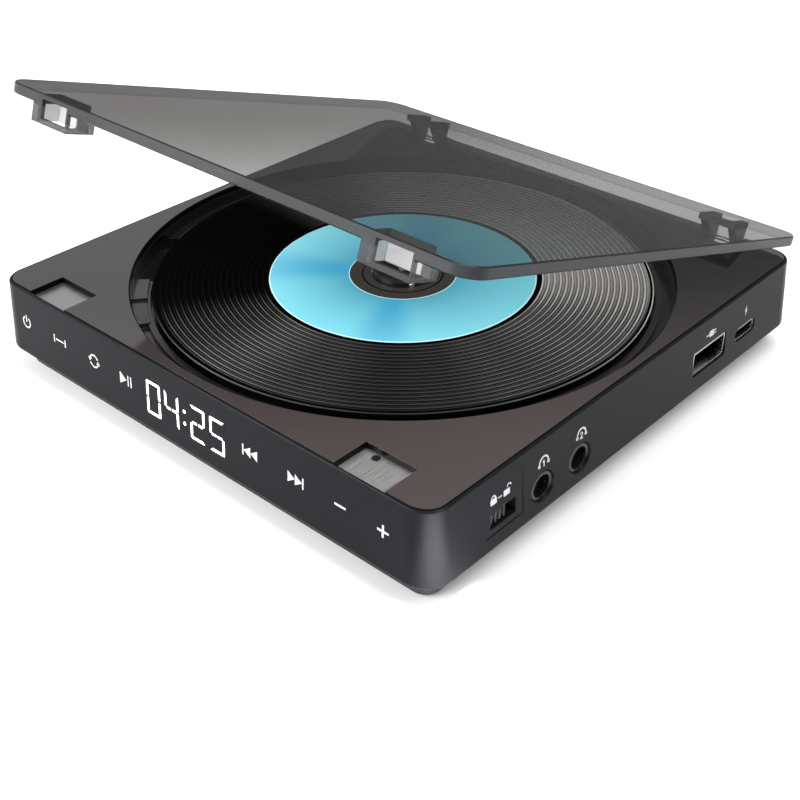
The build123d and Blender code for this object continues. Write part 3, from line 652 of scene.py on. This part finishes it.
def rounded(u0, v0, u1, v1, radius, steps=6):
    """A rectangle with rounded corners."""
    points = []
    for u, v, start in ((u1 - radius, v1 - radius, 0), (u0 + radius, v1 - radius, 90),
                        (u0 + radius, v0 + radius, 180), (u1 - radius, v0 + radius, 270)):
        for k in range(steps + 1):
            turn = math.radians(start + 90 * k / steps)
            points.append((u + radius * math.cos(turn), v + radius * math.sin(turn)))
    return points


def padlock(u, v, lift=0.0, shift=0.0):
    """A small lock sign; lift and shift open its shackle."""
    return [rounded(u - 0.95, v - 1.1, u + 0.95, v + 0.25, 0.2),
            arc(u + shift, v + 0.3 + lift, 0.58, 0, 180, 0.26, 14)]


def moved(outlines, u, v, scale=1.0):
    """The outlines scaled about their origin and moved to (u, v)."""
    return [[(u + scale * a, v + scale * b) for a, b in outline] for outline in outlines]


def mirrored(outlines):
    """The outlines turned left to right."""
    return [[(-u, v) for u, v in outline] for outline in outlines]


# ---------------------------------------------------------------- front key signs
back_sign = [bar(-2.2, -1.3, -2.2, 1.3), [(-1.95, 0), (0.05, -1.3), (0.05, 1.3)],
             [(0.1, 0), (2.1, -1.3), (2.1, 1.3)]]
key_signs = {
    "power": [arc(0, -0.1, 1.38, 122, 418, STROKE, 30), bar(0, -0.1, 0, 1.75)],
    "span": [bar(-2.1, -1.0, -2.1, 1.0), bar(2.1, -1.0, 2.1, 1.0), bar(-1.5, 0, 1.5, 0)],
    "loop": [arc(0, 0, 1.5, 25, 165), [(-2.15, 0.55), (-0.8, 0.55), (-1.45, -0.35)],
             arc(0, 0, 1.5, 205, 345), [(2.15, -0.55), (0.8, -0.55), (1.45, 0.35)]],
    "play": [[(-2.1, -1.5), (-2.1, 1.5), (0.15, 0)], bar(0.75, -1.35, 0.75, 1.35),
             bar(1.75, -1.35, 1.75, 1.35)],
    "back": back_sign,
    "next": mirrored(back_sign),
    "minus": [bar(-1.5, 0, 1.5, 0, 0.5)],
    "plus": [bar(-1.45, 0, 1.45, 0, 0.5), bar(0, 0.25, 0, 1.45, 0.5), bar(0, -1.45, 0, -0.25, 0.5)],
}
for name, outlines in key_signs.items():
    signs(f"sign_{name}", moved(outlines, KEY_X[name], KEY_Z), on_front, ink)

# ---------------------------------------------------------------- display digits
lit_segments = {0: "abcdef", 2: "abdeg", 4: "bcfg", 5: "acdfg"}


def digit(number, left):
    """Outlines of one seven-segment digit whose left edge is at left."""
    right, centre, middle = left + DIGIT_WIDE, left + DIGIT_WIDE / 2, (DIGIT_LOW + DIGIT_HIGH) / 2

    def level(outer, inner):
        """A top or bottom bar between two heights, with mitred ends."""
        inset = SEGMENT + SEGMENT_GAP
        return [(left + SEGMENT_GAP, outer), (right - SEGMENT_GAP, outer),
                (right - inset, inner), (left + inset, inner)]

    def upright(side, inwards, end, away):
        """A side bar from its mitred end to its point beside the middle bar."""
        inner, tip = side + inwards * SEGMENT, side + inwards * SEGMENT / 2
        shoulder = middle + away * SEGMENT / 2
        return [(side, end - away * SEGMENT_GAP), (inner, end - away * (SEGMENT + SEGMENT_GAP)),
                (inner, shoulder), (tip, middle + away * SEGMENT_GAP), (side, shoulder)]

    shapes = {
        "a": level(DIGIT_HIGH, DIGIT_HIGH - SEGMENT), "d": level(DIGIT_LOW, DIGIT_LOW + SEGMENT),
        "f": upright(left, 1, DIGIT_HIGH, 1), "b": upright(right, -1, DIGIT_HIGH, 1),
        "e": upright(left, 1, DIGIT_LOW, -1), "c": upright(right, -1, DIGIT_LOW, -1),
    }
    pieces = [shapes[key] for key in lit_segments[number] if key in shapes]
    dash = (DIGIT_WIDE - 2 * SEGMENT - 0.5) / 2
    if "g" in lit_segments[number]:
        for side in (-1, 1):
            near, far = centre + side * DASH_GAP, centre + side * (DASH_GAP + dash)
            pieces.append(bar(near, middle, far, middle, SEGMENT * 0.85))
    return pieces


digits = [outline for number, left in DIGIT_LEFTS for outline in digit(number, left)]
digits += [dot(COLON_X, v, COLON_RADIUS) for v in COLON_Z]
signs("display_digits", digits, on_front, lit)

# ---------------------------------------------------------------- right face signs
headphones = [arc(0, 0, 1.45, -8, 188, 0.4, 24), dot(1.5, -0.35, 0.42), dot(-1.5, -0.35, 0.42)]
one = [bar(0.05, -0.75, 0.05, 0.75, 0.3), bar(0.0, 0.72, -0.42, 0.38, 0.26)]
two = [arc(0, 0.3, 0.36, -20, 175, 0.24, 12), bar(0.34, 0.2, -0.45, -0.68, 0.26),
       bar(-0.52, -0.7, 0.52, -0.7, 0.26)]
for index, (u, number) in enumerate(zip(HEADPHONE_Y, (one, two)), 1):
    outlines = moved(headphones, u, HEADPHONE_Z) + moved(number, u, NUMBER_Z)
    signs(f"sign_headphone_{index}", outlines, on_right, ink)

locks = (padlock(LOCK_Y[0], LOCK_Z) + padlock(LOCK_Y[1], LOCK_Z, lift=0.35, shift=0.75)
         + [bar(-48.5, LOCK_Z - 0.4, -47.4, LOCK_Z - 0.4, 0.28)])
signs("sign_lock", locks, on_right, ink)
bolt = [(0.35, 1.6), (-0.75, -0.15), (-0.08, -0.15), (-0.35, -1.6), (0.75, 0.25), (0.08, 0.25)]
signs("sign_charge", moved([bolt], BOLT_Y, BOLT_Z, 0.8), on_right, ink)
plug = [rounded(-1.1, -0.9, 1.1, 0.9, 0.3), bar(1.1, 0.42, 2.3, 0.42, 0.34),
        bar(1.1, -0.42, 2.3, -0.42, 0.34), bar(-2.6, 0, -1.1, 0, 0.34)]
signs("sign_data", moved(plug, PLUG_Y, PLUG_Z, 0.85), on_right, ink)

# ---------------------------------------------------------------- disc
# Each row is a radius, a height and the finish of the stretch from there to the next row.
BLACK, CREST, LABEL, CORE, RIM, FLAT = range(6)
top = disc_hi.z / MM
bottom = top - DISC_THICKNESS
profile = [
    (DISC_HOLE, bottom, BLACK), (DISC_HOLE, top - 0.12, RIM), (7.62, top, CORE),
    (9.6, top, BLACK), (9.7, top - 0.08, BLACK), (9.9, top - 0.08, CORE), (10.0, top, CORE),
    (12.9, top, RIM), (LABEL_IN, top - 0.02, LABEL), (LABEL_OUT, top, RIM), (32.3, top - 0.12, BLACK),
]
groove = ((0.0, 0.2, BLACK), (0.07, 0.0, CREST), (0.40, 0.18, FLAT),
          (0.78, 0.2, BLACK), (0.84, 0.15, CREST), (0.92, 0.2, FLAT))
for k in range(GROOVE_COUNT):
    start = GROOVE_FIRST + GROOVE_PITCH * k
    profile += [(start + out, top - down, finish) for out, down, finish in groove]
profile += [
    (59.15, top - 0.12, BLACK), (59.3, top - 0.02, BLACK), (59.75, top - 0.02, CREST),
    (DISC_RADIUS, top - 0.2, BLACK), (DISC_RADIUS, bottom + 0.12, BLACK), (DISC_RADIUS - 0.12, bottom, BLACK),
]
mesh = bmesh.new()
lathe(mesh, profile, axis)
disc = keep("grooved_disc", mesh, "turntable", "disc_black", *disc_finishes)
smooth(disc, 25)
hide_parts("disc")

# ---------------------------------------------------------------- hub trim: a ring and six spokes
hub_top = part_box("turntable_hub")[1].z / MM
ring = ((TRIM_IN, 0.45), (TRIM_IN, 0.02), ((TRIM_IN + TRIM_OUT) / 2, 0.0), (TRIM_OUT, 0.02), (TRIM_OUT, 0.45))
spoke = ((1.2, -0.25), (3.3, -0.35), (3.3, 0.35), (1.2, 0.25))
spoke_base = axis + Vector((0, 0, (hub_top - 0.5) * MM))
mesh = bmesh.new()
lathe(mesh, [(radius, hub_top - down, 0) for radius, down in ring], axis, 96)
for k in range(6):
    turn = math.radians(60 * k + 30)
    along = Vector((math.cos(turn), math.sin(turn), 0)) * MM
    across = Vector((-math.sin(turn), math.cos(turn), 0)) * MM
    block(mesh, [spoke_base + along * out + across * aside + Vector((0, 0, height * MM))
                 for height in (0.0, 0.28) for out, aside in spoke])
hub_trim = keep("hub_trim", mesh, "turntable", "black_plastic", looks["black_plastic"])
smooth(hub_trim)

# ---------------------------------------------------------------- data socket contacts
tongue_lo, tongue_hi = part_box("data_port_tongue")
inner_x, outer_x = tongue_hi.x - 7.5 * MM, tongue_hi.x - 0.35 * MM
heights = (tongue_lo.z - 0.12 * MM, tongue_lo.z + 0.02 * MM)
half = CONTACT_HALF * MM
contact = ((inner_x, -half), (outer_x, -half * 0.8), (outer_x, half * 0.8), (inner_x, half))
mesh = bmesh.new()
for k in range(CONTACTS):
    y = tongue_lo.y + (tongue_hi.y - tongue_lo.y) * (k + 0.5) / CONTACTS
    block(mesh, [(x, y + aside, z) for z in heights for x, aside in contact])
keep("data_contacts", mesh, "case", "copper", gold)


# ---------------------------------------------------------------- ground and surroundings
def ground():
    """A wide sheet of white paper under the object."""
    mesh = bmesh.new()
    bmesh.ops.create_grid(mesh, x_segments=8, y_segments=8, size=3.0)
    data = bpy.data.meshes.new("floor")
    mesh.to_mesh(data)
    mesh.free()
    data.materials.append(white_paper())
    floor = bpy.data.objects.new("floor", data)
    bpy.context.scene.collection.objects.link(floor)
    return floor


def surroundings():
    """A studio that is white overhead and grey low down, with a pale backdrop for the camera."""
    world = bpy.data.worlds.new("studio")
    bpy.context.scene.world = world
    world.use_nodes = True
    add, link = world.node_tree.nodes.new, world.node_tree.links.new
    studio = world.node_tree.nodes["Background"]
    split, ramp = add("ShaderNodeSeparateXYZ"), add("ShaderNodeValToRGB")
    link(add("ShaderNodeTexCoord").outputs["Generated"], split.inputs[0])
    link(split.outputs[2], ramp.inputs[0])
    link(ramp.outputs[0], studio.inputs[0])
    low, high = ramp.color_ramp.elements
    low.position, low.color = 0.12, (0.22, 0.22, 0.23, 1)
    high.position, high.color = 0.45, WHITE
    studio.inputs[1].default_value = 0.95
    backdrop, either = add("ShaderNodeBackground"), add("ShaderNodeMixShader")
    backdrop.inputs[0].default_value = (0.88, 0.88, 0.88, 1)
    link(add("ShaderNodeLightPath").outputs["Is Camera Ray"], either.inputs[0])
    link(studio.outputs[0], either.inputs[1])
    link(backdrop.outputs[0], either.inputs[2])
    link(either.outputs[0], world.node_tree.nodes["World Output"].inputs["Surface"])


floor = ground()
surroundings()


# ---------------------------------------------------------------- light
def aimed(name, data, place, target):
    """Places a lamp so that it shines from one point towards another."""
    lamp = bpy.data.objects.new(name, data)
    bpy.context.scene.collection.objects.link(lamp)
    lamp.location = place
    lamp.rotation_euler = (Vector(place) - Vector(target)).to_track_quat("Z", "Y").to_euler()


def soft_lamp(name, place, target, size, power):
    """A soft rectangular lamp; places and size in metres."""
    data = bpy.data.lights.new(name, "AREA")
    data.shape = "RECTANGLE"
    data.size, data.size_y = size
    data.energy = power
    aimed(name, data, place, target)


soft_lamp("front", place=(-0.32, -0.72, 0.40), target=(0, 0, 0.02), size=(0.7, 0.35), power=14.0)
soft_lamp("top", place=(0.10, 0.20, 0.95), target=(0, 0, 0), size=(0.8, 0.6), power=8.0)
soft_lamp("side", place=(0.62, 0.05, 0.75), target=(0.24, 0.05, 0), size=(0.5, 0.5), power=5.0)
corner_light = bpy.data.lights.new("corner", "SPOT")
corner_light.energy = 150.0
corner_light.spot_size = math.radians(8.0)
corner_light.spot_blend = 0.8
corner_light.shadow_soft_size = 0.01
aimed("corner", corner_light, at(*SPOT_AT), at(*SPOT_AIM))

# ---------------------------------------------------------------- camera
azimuth, elevation, roll = map(math.radians, (CAMERA_AZIMUTH, CAMERA_ELEVATION, CAMERA_ROLL))
level = math.cos(elevation)
back = Vector((math.sin(azimuth) * level, -math.cos(azimuth) * level, math.sin(elevation)))
right = Vector((math.cos(azimuth), math.sin(azimuth), 0.0))
up = back.cross(right)
right_rolled = right * math.cos(roll) + up * math.sin(roll)
up_rolled = up * math.cos(roll) - right * math.sin(roll)
turned = Matrix((right_rolled, up_rolled, back)).transposed().to_4x4()
camera_data = bpy.data.cameras.new("camera")
camera_data.sensor_width = SENSOR_MM
camera_data.lens = LENS_MM
camera_data.shift_x, camera_data.shift_y = CAMERA_SHIFT
camera_data.clip_start = 0.01
camera = bpy.data.objects.new("camera", camera_data)
bpy.context.scene.collection.objects.link(camera)
camera.matrix_world = Matrix.Translation(at(*CAMERA_AT)) @ turned
bpy.context.scene.camera = camera
bpy.context.scene.view_settings.view_transform = "Standard"
